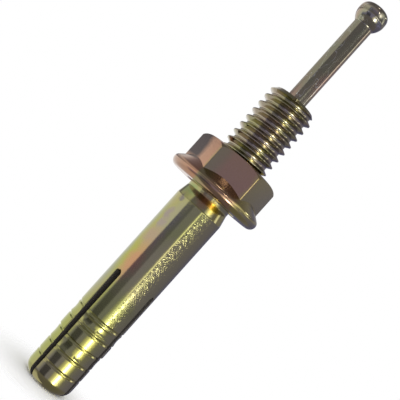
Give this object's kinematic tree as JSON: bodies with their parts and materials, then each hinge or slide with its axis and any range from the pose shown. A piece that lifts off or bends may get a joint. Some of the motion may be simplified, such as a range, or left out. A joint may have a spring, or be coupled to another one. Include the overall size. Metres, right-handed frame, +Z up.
{
  "type": "hammer drive anchor",
  "caption": "Steel stud anchor with a split, ringed sleeve, a hexagon flange nut and a drive pin that spreads the sleeve when it is hammered down.",
  "frame": {"origin": "on the anchor's axis at the flat end of its tail, the centre of the bottom of its box", "axes": "+Z runs up the axis from the tail to the pin's head. The side with the first slot, 40 degrees to the left of the middle, faces -Y. +X is to the right of someone who looks along +Y"},
  "size_m": [0.0184, 0.0184, 0.0852],
  "materials": {
    "body_zinc": "yellow zinc chromate on steel",
    "nut_zinc": "yellow zinc chromate on steel, more bronze than the body",
    "pin_steel": "hardened steel with a thin yellow zinc chromate"
  },
  "bodies": {
    "anchor": {"anchor_body": "body_zinc"},
    "nut": {"flange_nut": "nut_zinc"},
    "pin": {"drive_pin": "pin_steel"}
  },
  "joints": [
    {"name": "pin_drive", "type": "slide", "parent": "anchor", "child": "pin", "axis": [0, 0, 1], "range_m": [-0.0176, 0], "deforming": ["anchor_body"]},
    {"name": "nut_travel", "type": "slide", "parent": "anchor", "child": "nut", "axis": [0, 0, 1], "range_m": [0, 0.045]}
  ]
}
